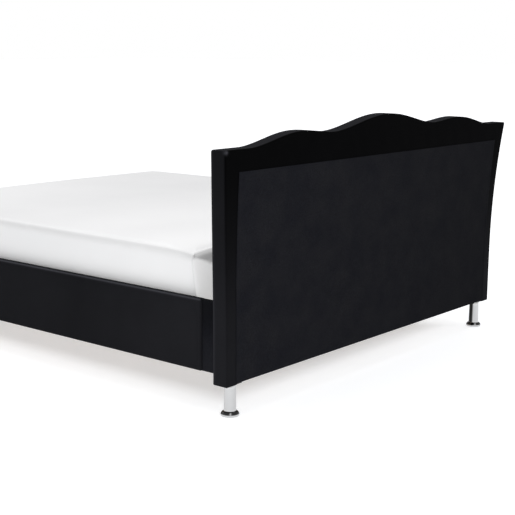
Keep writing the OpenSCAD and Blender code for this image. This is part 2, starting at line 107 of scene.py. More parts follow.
def lean(z):
    return LEAN * (np.maximum(0, z - LEAN_Z) / (PEAK_Z - LEAN_Z)) ** 2


def hump(t):
    return np.cos(np.pi / 2 * np.clip(np.abs(t), 0, 1)) ** 1.7


def top_z(x):
    """Height of the scalloped top edge at x."""
    a = np.abs(x)
    centre = VALLEY_Z + (PEAK_Z - VALLEY_Z) * hump(a / VALLEY_X)
    side = VALLEY_Z + (CREST_Z - VALLEY_Z) * hump((CREST_X - a) / (CREST_X - VALLEY_X))
    shoulder = CORNER_Z + (CREST_Z - CORNER_Z) * hump((a - CREST_X) / (SHOULDER_X - CREST_X))
    return np.where(a < VALLEY_X, centre, np.where(a < CREST_X, side, shoulder))


def smooth(t):
    t = np.clip(t, 0, 1)
    return t * t * (3 - 2 * t)


# ------------------------------------------------------------------ mesh building


def steps(length, cell, fine=(1, 2, 3.5, 5, 7, 9.5, 12.5, 16, 20)):
    """Places from 0 to 1 along a length, with cells that shrink towards both ends."""
    near = [f * MM for f in fine]
    inner = np.linspace(near[-1], length - near[-1], max(3, round((length - 2 * near[-1]) / cell)))
    places = [0, *near[:-1], *inner, *[length - n for n in near[-2::-1]], length]
    return np.array(places) / length


def waves(a, b, size, seed, count=9):
    """Smooth irregular surface between about -1 and 1, with features of a size in metres."""
    rng = np.random.default_rng(SEED + seed)
    total = np.zeros_like(a, float)
    for angle, phase, stretch in zip(
        rng.uniform(0, 2 * np.pi, count), rng.uniform(0, 2 * np.pi, count), rng.uniform(0.7, 1.6, count)
    ):
        k = 2 * np.pi / (size * stretch)
        total += np.sin(k * (a * np.cos(angle) + b * np.sin(angle)) + phase)
    return total / math.sqrt(count * 2)


def round_corner(a, b, r):
    """Moves points of a square corner, a and b in from its two edges, on to a corner of radius r."""
    p, q = 1 - a / r, 1 - b / r
    inside = (p > 0) & (q > 0)
    scale = np.where(inside, np.maximum(p, q) / np.maximum(np.hypot(p, q), 1e-9), 1)
    return np.where(inside, r * (1 - p * scale), a), np.where(inside, r * (1 - q * scale), b)


def box_outline(low, high, radii):
    """Outline function of a rectangle with rounded corners.

    The radii are for the corners (low a, low b), (high a, low b), (high a, high b), (low a, high b).
    """

    def outline(u, v, inset):
        a = low[0] + inset + (u + 1) / 2 * (high[0] - low[0] - 2 * inset)
        b = low[1] + inset + v * (high[1] - low[1] - 2 * inset)
        for k, (sa, sb) in enumerate([(-1, -1), (1, -1), (1, 1), (-1, 1)]):
            r = max(radii[k] - inset, 0.5 * MM)
            ea = (a - low[0] - inset) if sa < 0 else (high[0] - inset - a)
            eb = (b - low[1] - inset) if sb < 0 else (high[1] - inset - b)
            na, nb = round_corner(ea, eb, r)
            a = low[0] + inset + na if sa < 0 else high[0] - inset - na
            b = low[1] + inset + nb if sb < 0 else high[1] - inset - nb
        return a, b

    return outline


def edge_profile(thickness, r_first, r_last, parts=6, sides=4):
    """[inset, depth] of the rings from one face of a slab, round its edge, to the other face."""
    rings = []
    for k in range(parts + 1):
        t = math.pi / 2 * k / parts
        rings.append((r_first * (1 - math.sin(t)), r_first * (1 - math.cos(t))))
    for k in range(1, sides):
        rings.append((0, r_first + (thickness - r_first - r_last) * k / sides))
    for k in range(parts, -1, -1):
        t = math.pi / 2 * k / parts
        rings.append((r_last * (1 - math.sin(t)), thickness - r_last * (1 - math.cos(t))))
    return rings


def mesh_object(name, verts, faces, attributes=None):
    mesh = bpy.data.meshes.new(name)
    mesh.from_pydata([tuple(v) for v in verts], [], [tuple(f) for f in faces])
    for key, values in (attributes or {}).items():
        attribute = mesh.attributes.new(key, "FLOAT", "POINT")
        attribute.data.foreach_set("value", np.asarray(values, np.float32))
    mesh.polygons.foreach_set("use_smooth", [True] * len(mesh.polygons))
    mesh.update()
    obj = bpy.data.objects.new(name, mesh)
    bpy.context.scene.collection.objects.link(obj)
    return obj


def slab(
    name, outline, rings, place, us, vs, relief_first=None, relief_last=None, last_cap=True, shades=None
):
    """A skin made of two faces joined by rings round its edge.

    outline(u, v, inset) gives the two coordinates of a face, rings are [inset, depth] pairs, and
    place(a, b, depth) gives x, y, z. A relief function gives extra depth inside a face, and shades
    maps the names of vertex attributes to functions of a, b and depth.
    """
    nu, nv = len(us), len(vs)
    grid_u, grid_v = np.meshgrid(us * 2 - 1, vs, indexing="ij")
    index = np.arange(nu * nv).reshape(nu, nv)
    edge = np.concatenate([index[:, 0], index[-1, 1:], index[-2::-1, -1], index[0, -2:0:-1]])
    flat_u, flat_v = grid_u.ravel(), grid_v.ravel()
    verts, loops, coords = [], [], []

    def cap(inset, depth, relief):
        a, b = outline(flat_u, flat_v, inset)
        d = np.full_like(a, depth)
        if relief is not None:
            d = d + relief(a, b)
        start = sum(len(v) for v in verts)
        verts.append(np.stack(place(a, b, d), 1))
        coords.append(np.stack([a, b, d], 1))
        return start

    def ring(inset, depth):
        a, b = outline(flat_u[edge], flat_v[edge], inset)
        d = np.full_like(a, depth)
        start = sum(len(v) for v in verts)
        verts.append(np.stack(place(a, b, d), 1))
        coords.append(np.stack([a, b, d], 1))
        return np.arange(start, start + len(edge))

    quads = np.stack([index[:-1, :-1], index[1:, :-1], index[1:, 1:], index[:-1, 1:]], -1)
    quads = quads.reshape(-1, 4)
    start = cap(*rings[0], relief_first)
    faces = [quads + start]
    loops.append(edge + start)
    for inset, depth in rings[1:-1]:
        loops.append(ring(inset, depth))
    if last_cap:
        start = cap(*rings[-1], relief_last)
        faces.append(quads[:, ::-1] + start)
        loops.append(edge + start)
    else:
        loops.append(ring(*rings[-1]))
    for one, two in zip(loops, loops[1:]):
        faces.append(np.stack([one, two, np.roll(two, -1), np.roll(one, -1)], 1))
    points = np.concatenate(verts)
    a, b, depth = np.concatenate(coords).T
    attributes = {key: function(a, b, depth) for key, function in (shades or {}).items()}
    return mesh_object(name, points, np.concatenate(faces), attributes)


def lathe(name, profile, centre, segments=96, tone=None):
    """Solid of revolution from [radius, height] points; the first and last radius are 0."""
    angles = np.linspace(0, 2 * np.pi, segments, endpoint=False)
    verts, faces = [], []
    inner = profile[1:-1]
    for r, h in inner:
        for t in angles:
            verts.append((centre[0] + r * math.cos(t), centre[1] + r * math.sin(t), centre[2] + h))
    verts.append((centre[0], centre[1], centre[2] + profile[0][1]))
    verts.append((centre[0], centre[1], centre[2] + profile[-1][1]))
    first, last = len(verts) - 2, len(verts) - 1
    for k in range(len(inner) - 1):
        for j in range(segments):
            a, b = k * segments + j, k * segments + (j + 1) % segments
            faces.append((a, b, b + segments, a + segments))
    for j in range(segments):
        faces.append((first, (j + 1) % segments, j))
        top = (len(inner) - 1) * segments
        faces.append((last, top + j, top + (j + 1) % segments))
    x, y, z = (np.array(verts) - np.array(centre)).T
    return mesh_object(name, verts, faces, {"tone": tone(x, y, z) if tone else np.ones(len(verts))})


def fix_normals(obj):
    bpy.context.view_layer.objects.active = obj
    obj.select_set(True)
    bpy.ops.object.mode_set(mode="EDIT")
    bpy.ops.mesh.select_all(action="SELECT")
    bpy.ops.mesh.normals_make_consistent(inside=False)
    bpy.ops.object.mode_set(mode="OBJECT")
    obj.select_set(False)
    return obj


def settle(obj, first, count, pinned, pressure, slack, limit, frames=16, stiffness=8):
    """Cloth simulation of some of a skin's vertices, written back into its mesh.

    The vertices from first on are given slack cloth and a little air pressure. Pinned ones stay
    where they are, and no vertex moves further than limit.
    """
    everything = np.empty(len(obj.data.vertices) * 3)
    obj.data.vertices.foreach_get("co", everything)
    everything = everything.reshape(-1, 3)
    start = everything[first:first + count].copy()
    faces = []
    for polygon in obj.data.polygons:
        corners = polygon.vertices
        if min(corners) >= first and max(corners) < first + count:
            faces.append([c - first for c in corners])
    trial = mesh_object("trial_cloth", start, faces)
    group = trial.vertex_groups.new(name="pins")
    group.add([int(k) for k in np.nonzero(pinned)[0]], 1.0, "REPLACE")
    cloth = trial.modifiers.new("cloth", "CLOTH")
    cloth.point_cache.frame_start = 1
    cloth.point_cache.frame_end = frames
    setting = cloth.settings
    setting.quality = 4
    setting.mass = 0.3
    setting.tension_stiffness = stiffness
    setting.compression_stiffness = stiffness
    setting.shear_stiffness = stiffness / 2
    setting.bending_stiffness = 0.3
    setting.air_damping = 2
    setting.effector_weights.gravity = 0
    setting.vertex_group_mass = "pins"
    setting.shrink_min = -slack
    setting.use_pressure = True
    setting.uniform_pressure_force = pressure
    cloth.collision_settings.use_collision = False
    for number in range(1, frames + 1):
        bpy.context.scene.frame_set(number)
    shape = trial.evaluated_get(bpy.context.evaluated_depsgraph_get()).to_mesh()
    moved = np.empty(count * 3)
    shape.vertices.foreach_get("co", moved)
    bpy.context.scene.frame_set(1)
    bpy.data.objects.remove(trial)
    shift = moved.reshape(-1, 3) - start
    size = np.linalg.norm(shift, axis=1, keepdims=True)
    shift *= limit * np.tanh(size / limit) / np.maximum(size, 1e-9)
    everything[first:first + count] = start + shift
    obj.data.vertices.foreach_set("co", everything.ravel())
    obj.data.update()


# ---------------------------------------------------------------------- materials


class Shader:
    """A Principled material with a few short ways to add nodes to it."""

    def __init__(self, name, **values):
        self.material = bpy.data.materials.new(name)
        self.material.use_nodes = True
        self.tree = self.material.node_tree
        self.bsdf = self.tree.nodes["Principled BSDF"]
        for key, value in values.items():
            self.bsdf.inputs[key.replace("_", " ").title().replace("Ior", "IOR")].default_value = value

    def node(self, kind, **settings):
        made = self.tree.nodes.new(kind)
        for key, value in settings.items():
            setattr(made, key, value)
        return made

    def link(self, out, to):
        self.tree.links.new(out, to)

    def coords(self, stretch=(1, 1, 1), turn=(0, 0, 0)):
        where = self.node("ShaderNodeTexCoord")
        mapping = self.node("ShaderNodeMapping")
        mapping.inputs["Scale"].default_value = stretch
        mapping.inputs["Rotation"].default_value = turn
        self.link(where.outputs["Object"], mapping.inputs["Vector"])
        return mapping.outputs["Vector"]

    def noise(self, scale, detail=2.0, rough=0.5, stretch=(1, 1, 1), distortion=0.0):
        made = self.node("ShaderNodeTexNoise")
        made.inputs["Scale"].default_value = scale
        made.inputs["Detail"].default_value = detail
        made.inputs["Roughness"].default_value = rough
        made.inputs["Distortion"].default_value = distortion
        self.link(self.coords(stretch), made.inputs["Vector"])
        return made.outputs["Fac"]

    def ramp(self, fac, stops):
        made = self.node("ShaderNodeValToRGB")
        while len(made.color_ramp.elements) < len(stops):
            made.color_ramp.elements.new(0.5)
        for element, (place, colour) in zip(made.color_ramp.elements, stops):
            element.position = place
            element.color = (*colour, 1) if hasattr(colour, "__len__") else (colour, colour, colour, 1)
        self.link(fac, made.inputs["Fac"])
        return made.outputs["Color"]

    def maths(self, how, a, b):
        made = self.node("ShaderNodeMath", operation=how)
        for k, value in enumerate((a, b)):
            if isinstance(value, (int, float)):
                made.inputs[k].default_value = value
            else:
                self.link(value, made.inputs[k])
        return made.outputs["Value"]

    def mix(self, fac, a, b, how="MIX"):
        made = self.node("ShaderNodeMix", data_type="RGBA", blend_type=how)
        for key, value in ((0, fac), (6, a), (7, b)):
            if isinstance(value, (int, float)):
                made.inputs[key].default_value = value
            elif isinstance(value, tuple):
                made.inputs[key].default_value = (*value, 1)
            else:
                self.link(value, made.inputs[key])
        return made.outputs[2]

    def attribute(self, name):
        return self.node("ShaderNodeAttribute", attribute_name=name).outputs["Fac"]

    def colour(self, out):
        self.link(out, self.bsdf.inputs["Base Color"])

    def roughness(self, out):
        self.link(out, self.bsdf.inputs["Roughness"])

    def bump(self, height, strength, distance):
        made = self.node("ShaderNodeBump")
        made.inputs["Strength"].default_value = strength
        made.inputs["Distance"].default_value = distance
        self.link(height, made.inputs["Height"])
        self.link(made.outputs["Normal"], self.bsdf.inputs["Normal"])


def velvet(name, sheen):
    s = Shader(name, roughness=0.9, sheen_weight=sheen, sheen_roughness=0.5, specular_ior_level=0.01)
    blotch = s.noise(5.0, 3.0, 0.55)
    pile = s.noise(900.0, 2.0, 0.7)
    base = s.mix(s.maths("MULTIPLY", blotch, 0.8), (0.0078, 0.0079, 0.0092), (0.0126, 0.0127, 0.0147))
    # Painted light: the tone attribute darkens and lightens the colour where shade and light fall on
    # each piece.
    toned = s.mix(1.0, base, s.attribute("tone"), how="MULTIPLY")
    speck = s.mix(1.0, toned, s.ramp(pile, [(0.3, 0.75), (0.7, 1.25)]), how="MULTIPLY")
    s.colour(speck)
    s.bump(s.maths("ADD", s.maths("MULTIPLY", pile, 0.5), s.noise(160.0, 2.0)), 0.25, 0.0006)
    return s.material


def dust_cloth():
    s = Shader("black_nonwoven", roughness=0.95, specular_ior_level=0.03, sheen_weight=0.01)
    cloud = s.noise(9.0, 4.0, 0.6)
    web = s.noise(260.0, 3.0, 0.75, distortion=0.6)
    clouds = s.ramp(cloud, [(0.35, 0.0), (0.7, 1.0)])
    base = s.mix(clouds, (0.0080, 0.0084, 0.0112), (0.0118, 0.0120, 0.0142))
    # Painted light: the tone attribute lightens and darkens the colour where light and shade fall.
    toned = s.mix(1.0, base, s.attribute("tone"), how="MULTIPLY")
    s.colour(s.mix(1.0, toned, s.ramp(web, [(0.3, 0.6), (0.72, 1.45)]), how="MULTIPLY"))
    s.bump(web, 0.4, 0.0005)
    return s.material


def cotton():
    s = Shader("white_cotton", roughness=0.85, specular_ior_level=0.1, sheen_weight=0.03)
    # Painted glow: the cloth gives off light of its own, set by the glow attribute below.
    s.bsdf.inputs["Emission Strength"].default_value = 1.0
    wave_a = s.node("ShaderNodeTexWave", wave_type="BANDS", bands_direction="X")
    wave_b = s.node("ShaderNodeTexWave", wave_type="BANDS", bands_direction="Y")
    for wave in (wave_a, wave_b):
        wave.inputs["Scale"].default_value = 320
        wave.inputs["Distortion"].default_value = 0.6
        wave.inputs["Detail"].default_value = 1
        s.link(s.coords(), wave.inputs["Vector"])
    weave = s.maths("ADD", wave_a.outputs["Fac"], wave_b.outputs["Fac"])
    tint = s.noise(3.0, 2.0)
    cloth = s.mix(tint, (0.80, 0.80, 0.80), (0.85, 0.85, 0.85))
    # Painted shade: the tone attribute darkens the cloth where shade falls.
    s.colour(s.mix(1.0, cloth, s.attribute("tone"), how="MULTIPLY"))
    s.link(s.mix(1.0, cloth, s.attribute("glow"), how="MULTIPLY"), s.bsdf.inputs["Emission Color"])
    s.bump(weave, 0.08, 0.0003)
    return s.material


def ticking():
    s = Shader("mattress_ticking", roughness=0.8, specular_ior_level=0.2)
    quilt = s.node("ShaderNodeTexVoronoi", feature="SMOOTH_F1")
    quilt.inputs["Scale"].default_value = 14
    s.link(s.coords(), quilt.inputs["Vector"])
    s.colour(s.mix(s.noise(400.0), (0.62, 0.63, 0.66), (0.75, 0.75, 0.78)))
    s.bump(quilt.outputs["Distance"], 0.5, 0.004)
    return s.material


def chrome():
    s = Shader("polished_chrome", metallic=1.0, roughness=0.06)
    metal = s.mix(s.noise(30.0, 3.0), (0.54, 0.54, 0.54), (0.59, 0.59, 0.59))
    # Painted reflection: the tone attribute darkens the metal where it should mirror the black covers.
    s.colour(s.mix(1.0, metal, s.attribute("tone"), how="MULTIPLY"))
    s.roughness(s.ramp(s.noise(45.0, 4.0), [(0.3, 0.035), (0.75, 0.09)]))
    return s.material


def timber(name, dark, light, stretch, gloss=0.6, scale=1.0):
    """Wood whose grain runs along the axis that stretch leaves long."""
    s = Shader(name, roughness=gloss, specular_ior_level=0.35)
    rings = s.noise(22.0 * scale, 5.0, 0.6, stretch, distortion=1.5)
    fibre = s.noise(260.0 * scale, 3.0, 0.6, stretch)
    base = s.mix(s.ramp(rings, [(0.35, 0.0), (0.65, 1.0)]), dark, light)
    s.colour(s.mix(1.0, base, s.ramp(fibre, [(0.3, 0.85), (0.7, 1.08)]), how="MULTIPLY"))
    s.bump(fibre, 0.15, 0.0004)
    return s.material


def particle_board():
    s = Shader("pressed_board", roughness=0.8, specular_ior_level=0.2)
    flakes = s.node("ShaderNodeTexVoronoi")
    flakes.inputs["Scale"].default_value = 320
    s.link(s.coords((1, 0.5, 0.7)), flakes.inputs["Vector"])
    s.colour(s.ramp(flakes.outputs["Color"], [(0.2, (0.30, 0.20, 0.11)), (0.8, (0.55, 0.41, 0.26))]))
    s.bump(flakes.outputs["Distance"], 0.2, 0.0004)
    return s.material


def powder_coat():
    s = Shader("black_powder_coat", roughness=0.45, specular_ior_level=0.5)
    grain = s.noise(1500.0, 2.0)
    s.colour(s.mix(s.noise(12.0, 3.0), (0.012, 0.012, 0.013), (0.022, 0.022, 0.023)))
    s.roughness(s.ramp(s.noise(60.0, 3.0), [(0.3, 0.36), (0.7, 0.55)]))
    s.bump(grain, 0.2, 0.0002)
    return s.material


def zinc():
    s = Shader("zinc_plate", metallic=1.0, roughness=0.35)
    s.colour(s.mix(s.noise(80.0, 4.0, 0.6), (0.50, 0.50, 0.50), (0.68, 0.68, 0.66)))
    s.roughness(s.ramp(s.noise(240.0, 3.0), [(0.3, 0.25), (0.7, 0.5)]))
    return s.material


def moulded_plastic():
    s = Shader("black_plastic", roughness=0.5, specular_ior_level=0.4)
    s.colour(s.mix(s.noise(25.0, 2.0), (0.014, 0.014, 0.014), (0.022, 0.022, 0.023)))
    s.roughness(s.ramp(s.noise(400.0, 2.0), [(0.3, 0.42), (0.7, 0.6)]))
    s.bump(s.noise(900.0, 2.0), 0.25, 0.0003)
    return s.material


VELVET = velvet("black_velvet", 0.008)
VELVET_FRONT = velvet("black_velvet_front", 0.3)
DUST_CLOTH = dust_cloth()
COTTON = cotton()
TICKING = ticking()
CHROME = chrome()
PINE_DARK = (0.50, 0.34, 0.17)
PINE_LIGHT = (0.68, 0.50, 0.29)
BEECH_DARK = (0.56, 0.38, 0.22)
BEECH_LIGHT = (0.70, 0.51, 0.32)
PINE_X = timber("pine_across", PINE_DARK, PINE_LIGHT, (0.05, 1, 1))
PINE_Y = timber("pine_along", PINE_DARK, PINE_LIGHT, (1, 0.05, 1))
PINE_Z = timber("pine_upright", PINE_DARK, PINE_LIGHT, (1, 1, 0.05))
BEECH = timber("beech_laminate", BEECH_DARK, BEECH_LIGHT, (0.04, 1, 1), gloss=0.4, scale=1.6)
BOARD = particle_board()
BLACK_STEEL = powder_coat()
ZINC = zinc()
PLASTIC = moulded_plastic()


def dress(obj, material):
    obj.data.materials.clear()
    obj.data.materials.append(material)
    return obj


# ------------------------------------------------------------------------ headboard


HEM_DROP = 3 * MM
HEM_RISE = 5 * MM
HEM_END = 50 * MM
TOP_CORNER_R = 9 * MM
LOW_CORNER_R = 3 * MM
BACK_EDGE_R = 5 * MM
FRONT_EDGE_R = 8 * MM
HEAD_CELL = 6.5 * MM


def bottom_z(x):
    """Underside of the headboard: the two ends hang a little lower than the middle."""
    return BASE_Z - HEM_DROP + HEM_RISE * smooth((END_X - HEM_END - np.abs(x)) / (14 * MM))


def headboard_outline(u, v, inset):
    z_line = BASE_Z + v * (CORNER_Z - BASE_Z)
    half = END_X + flare(z_line) - inset
    x = u * half
    low = bottom_z(x) + inset
    high = top_z(x) - inset
    z = low + v * (high - low)
    a, b = round_corner(half - np.abs(x), high - z, max(TOP_CORNER_R - inset, 1 * MM))
    x = np.sign(u) * (half - a)
    z = high - b
    a, b = round_corner(half - np.abs(x), z - low, max(LOW_CORNER_R - inset, 0.5 * MM))
    return np.sign(u) * (half - a), low + b


def headboard_place(x, z, depth):
    return x, BACK_Y + lean(z) - depth, z


def crease(t):
    return np.abs(np.sin(np.pi * t)) ** 0.55


GROOVE_DEPTH = 7 * MM
GROOVE_W = 6 * MM
PAD_ROUND = 32 * MM
BORDER_ROLL = 3 * MM
BUTTON_PULL = 3 * MM


def rim_distance(x, z):
    """Distance inside the sides and the scalloped top of the headboard."""
    side = END_X + flare(np.minimum(z, CORNER_Z)) - np.abs(x)
    return np.minimum(side, top_z(x) - z)


def pad_distance(x, z):
    """Distance inside the edge of the tufted pad."""
    return np.minimum(rim_distance(x, z) - PAD_MARGIN, z - PAD_Z)


def tufted_pad(x, z):
    """Extra depth of the headboard front: a border, a groove, and a pad pulled in by buttons."""
    edge = pad_distance(x, z)
    groove = -GROOVE_DEPTH * np.exp(-((edge / GROOVE_W) ** 2))
    t = np.clip(edge / PAD_ROUND, 0, 1)
    pad = (PAD_OUT - HEAD_T + 2 * MM) * np.sqrt(1 - (1 - t) ** 2)
    roll = BORDER_ROLL * smooth(-edge / (20 * MM)) * smooth(rim_distance(x, z) / (30 * MM))
    row = (BUTTON_ROWS - 1) * (z - BUTTON_Z) / (top_z(x) - BUTTON_TOP - BUTTON_Z)
    beyond = np.maximum(0, np.maximum(-row, row - (BUTTON_ROWS - 1)))
    held = np.clip(row, 0, BUTTON_ROWS - 1)
    column = x / BUTTON_PITCH
    fa = crease(column - held / 2)
    fb = crease(column + held / 2)
    button = (1 - np.maximum(fa, fb)) * np.exp(-((beyond / 0.35) ** 2))
    pull = TUFT_DEPTH * (1 - fa * fb) * (0.55 + 0.45 * button) + BUTTON_PULL * button**2
    return groove + roll + np.where(edge > 0, pad - pull * smooth(edge / (28 * MM)) ** 0.5, 0)


def dust_edge(x, z):
    """Distance inside the edge of the dust cover."""
    half = END_X - BORDER_W + 0.3 * flare(z)
    return np.minimum(half - np.abs(x), DUST_TOP_Z - z)


def headboard_back(x, z):
    """The wrapped border is slightly wavy, and the skin drops behind the dust cover."""
    inside = dust_edge(x, z)
    drop = 2.5 * MM * smooth((inside - 20 * MM) / (20 * MM))
    return drop + 0.5 * MM * waves(x, z, 0.09, 1) * smooth(-inside / (10 * MM) + 1)


def headboard_painted_light(x, z, depth):
    """Painted light and shade on the velvet: the back is darker, most of all at the top; the sides are
    darker towards the top, with a painted highlight along their front edge; the top edge and each top
    back corner carry painted highlights; on the front the pillows are lighter than the creases.
    """
    back = 1 - smooth((depth - 2 * MM) / (8 * MM))
    high = smooth((z - 0.2) / 0.75)
    # Painted highlight along the front edge of the sides.
    front_edge_highlight = smooth((depth - (HEAD_T - 16 * MM)) / (8 * MM))
    front_edge_highlight *= 1 - smooth((depth - HEAD_T) / (4 * MM))
    side = 1.38 - 0.6 * high + (0.9 - 0.4 * high) * front_edge_highlight
    corner = np.hypot(END_X + FLARE - 6 * MM - np.abs(x), top_z(x) - 7 * MM - z)
    # Painted glint at each top back corner.
    painted_glint = 5 * np.exp(-((corner / (7 * MM)) ** 2)) * np.exp(-((depth / (9 * MM)) ** 2))
    # Painted highlight along the top edge.
    top = 1.2 * smooth((z - top_z(x) + 4 * MM) / (3 * MM)) * (1 - back)
    front = smooth((depth - HEAD_T + 1 * MM) / (2 * MM))
    # Painted light and shade on the front: pillows lighter, creases darker.
    pillow_shading = 0.7 + 2.0 * np.clip((depth - HEAD_T + 4 * MM) / (14 * MM), 0, 1) ** 1.5
    sides = back * (1.15 - high**0.75) + (1 - back) * (side + top) + painted_glint
    return front * pillow_shading + (1 - front) * sides


def front_coordinates(us, vs, inset):
    grid_u, grid_v = np.meshgrid(us * 2 - 1, vs, indexing="ij")
    return headboard_outline(grid_u.ravel(), grid_v.ravel(), inset)


def button_spots():
    """x and z of every button: rows follow the scalloped edge, every other row is shifted."""
    spots = []
    for row in range(BUTTON_ROWS):
        odd = row % 2
        half = math.floor((END_X - BUTTON_SIDE) / BUTTON_PITCH - odd / 2)
        for k in range(-half - odd, half + 1):
            x = (k + odd / 2) * BUTTON_PITCH
            rise = float(top_z(x)) - BUTTON_TOP - BUTTON_Z
            spots.append((x, BUTTON_Z + rise * row / (BUTTON_ROWS - 1)))
    return spots


def held_by_buttons(x, z):
    """True for the points of the headboard front that do not move: its border and round its buttons."""
    near = pad_distance(x, z) < 4 * MM
    for bx, bz in button_spots():
        near |= np.hypot(x - bx, z - bz) < 12 * MM
    return near


def make_headboard():
    us = steps(2 * END_X, HEAD_CELL)
    vs = steps(CORNER_Z - BASE_Z, HEAD_CELL)
    rings = edge_profile(HEAD_T, BACK_EDGE_R, FRONT_EDGE_R, parts=6, sides=9)
    cover = slab(
        "headboard_upholstery",
        headboard_outline,
        rings,
        headboard_place,
        us,
        vs,
        headboard_back,
        tufted_pad,
        shades={"tone": headboard_painted_light},
    )
    count = len(us) * len(vs)
    first = len(cover.data.vertices) - count
    x, z = front_coordinates(us, vs, rings[-1][0])
    settle(cover, first, count, held_by_buttons(x, z), pressure=2.5, slack=0.05, limit=9 * MM)
    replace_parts(dress(fix_normals(cover), VELVET), "headboard_cover", "headboard_foam")
    cover.data.materials.append(VELVET_FRONT)
    for polygon in cover.data.polygons:
        polygon.material_index = int(min(polygon.vertices) >= first)
    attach(cover, "frame")


DUST_LOW = 7 * MM
DUST_HEM_STEPS = (0.7, 1.5, 3, 6, 10, 12, 13.5, 15, 18)


def dust_outline(u, v, inset):
    top = DUST_TOP_Z - inset
    low = BASE_Z + DUST_LOW + inset
    z = low + v * (top - low)
    return u * (END_X - BORDER_W + 0.3 * flare(z) - inset), z


def dust_relief(x, z):
    edge = np.minimum(dust_edge(x, z), z - BASE_Z - DUST_LOW)
    hem = -0.7 * MM * smooth((14 * MM - edge) / (2 * MM)) * smooth(edge / (1.5 * MM))
    slack = 1.2 * MM * waves(x, z, 0.45, 2) * smooth(edge / (60 * MM))
    return hem + slack


def make_dust_cover():
    us = steps(2 * END_X, 9 * MM, fine=DUST_HEM_STEPS)
    vs = steps(DUST_TOP_Z - BASE_Z, 9 * MM, fine=DUST_HEM_STEPS)
    rings = [(0.4 * MM, -1.7 * MM), (0, -1.3 * MM), (0, -0.5 * MM), (0.4 * MM, -0.1 * MM)]
    sheet = slab(
        "dust_cover",
        dust_outline,
        rings,
        headboard_place,
        us,
        vs,
        dust_relief,
        dust_relief,
        # Painted light: the dust cover is lighter towards +x and darker towards -x.
        shades={"tone": lambda x, z, depth: 0.84 + 0.26 * x},
    )
    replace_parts(dress(fix_normals(sheet), DUST_CLOTH), "headboard_dust_cover")
    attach(sheet, "frame")


BUTTON_R = 13 * MM
# Painted light: the buttons are lightened, though they sit in the shade of their dimples.
BUTTON_PAINTED_LIGHT = 1.6
# [share of the radius, height in mm] from the back of a button to its crown
BUTTON_DOME = [
    (0, -2), (0.82, -2), (0.96, 0.4), (1.0, 1.6), (0.97, 2.9),
    (0.86, 4.2), (0.66, 5.3), (0.4, 6.1), (0.16, 6.4), (0, 6.45),
]


def make_buttons():
    """Covered buttons, each a dome with a few small gathers round its rim."""
    around = np.linspace(0, 2 * np.pi, 28, endpoint=False)
    verts, faces = [], []
    for number, (x, z) in enumerate(button_spots()):
        y = BACK_Y + float(lean(z)) - PAD_OUT + TUFT_DEPTH
        base = len(verts)
        for share, height in BUTTON_DOME[1:-1]:
            gather = 1 + 0.02 * np.cos(9 * around + number) * (height < 4)
            for angle, r in zip(around, BUTTON_R * share * gather):
                verts.append((x + r * math.cos(angle), y - height * MM, z + r * math.sin(angle)))
        under = len(verts)
        crown = under + 1
        verts.append((x, y - BUTTON_DOME[0][1] * MM, z))
        verts.append((x, y - BUTTON_DOME[-1][1] * MM, z))
        n = len(around)
        rows = len(BUTTON_DOME) - 2
        for j in range(n):
            k = (j + 1) % n
            faces.append((under, base + k, base + j))
            for row in range(rows - 1):
                a = base + row * n
                faces.append((a + j, a + k, a + n + k, a + n + j))
            last = base + (rows - 1) * n
            faces.append((crown, last + j, last + k))
    buttons = mesh_object("covered_buttons", verts, faces, {"tone": np.full(len(verts), BUTTON_PAINTED_LIGHT)})
    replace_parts(dress(fix_normals(buttons), VELVET_FRONT), "headboard_buttons")
    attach(buttons, "frame")


# ---------------------------------------------------------------- rails and footboard


def edge_painted_highlight(top):
    """Painted highlight along the top outer edge, where the pile catches the light; the colour is also
    a little lighter towards the high end of a.
    """

    def tone(a, b, depth):
        near = np.exp(-(((top - b) / (4 * MM)) ** 2)) * np.exp(-(((depth - 4 * MM) / (5 * MM)) ** 2))
        return 1.0 + 0.3 * smooth((a - 0.3) / 0.6) + 5 * near

    return tone


def rail_relief(a, b):
    return 0.7 * MM * waves(a, b, 0.35, 4)


def relax_face(obj, us, vs, first):
    """Lets the padded face of a slab settle, held along its edges."""
    grid_u, grid_v = np.meshgrid(np.arange(len(us)), np.arange(len(vs)), indexing="ij")
    edge = np.minimum.reduce([grid_u, grid_v, len(us) - 1 - grid_u, len(vs) - 1 - grid_v]).ravel()
    settle(obj, first, edge.size, edge < 5, pressure=1.5, slack=0.012, limit=2 * MM)


RAIL_END_IN = 11 * MM
WRAP_OVERLAP = 14 * MM
WRAP_STEPS = (0.5, 1, 2, 3, 4.5)


def make_rail(side):
    name = "right" if side > 0 else "left"
    low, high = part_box(name + "_rail_cover")
    high.y -= RAIL_END_IN
    outer = high.x if side > 0 else low.x
    thick = high.x - low.x

    def place(y, z, depth):
        return outer - side * depth, y, z

    outline = box_outline((low.y, low.z), (high.y, high.z), (2 * MM, 9 * MM, 14 * MM, 2 * MM))
    us = steps(high.y - low.y, 22 * MM)
    vs = steps(high.z - low.z, 9 * MM)
    rings = edge_profile(thick, 9 * MM, 3 * MM, sides=3)
    shades = {"tone": edge_painted_highlight(high.z)}
    rail = slab(name + "_rail_upholstery", outline, rings, place, us, vs, rail_relief, shades=shades)
    relax_face(rail, us, vs, 0)
    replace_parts(dress(fix_normals(rail), VELVET), name + "_rail_cover", name + "_rail_foam")
    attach(rail, "frame")


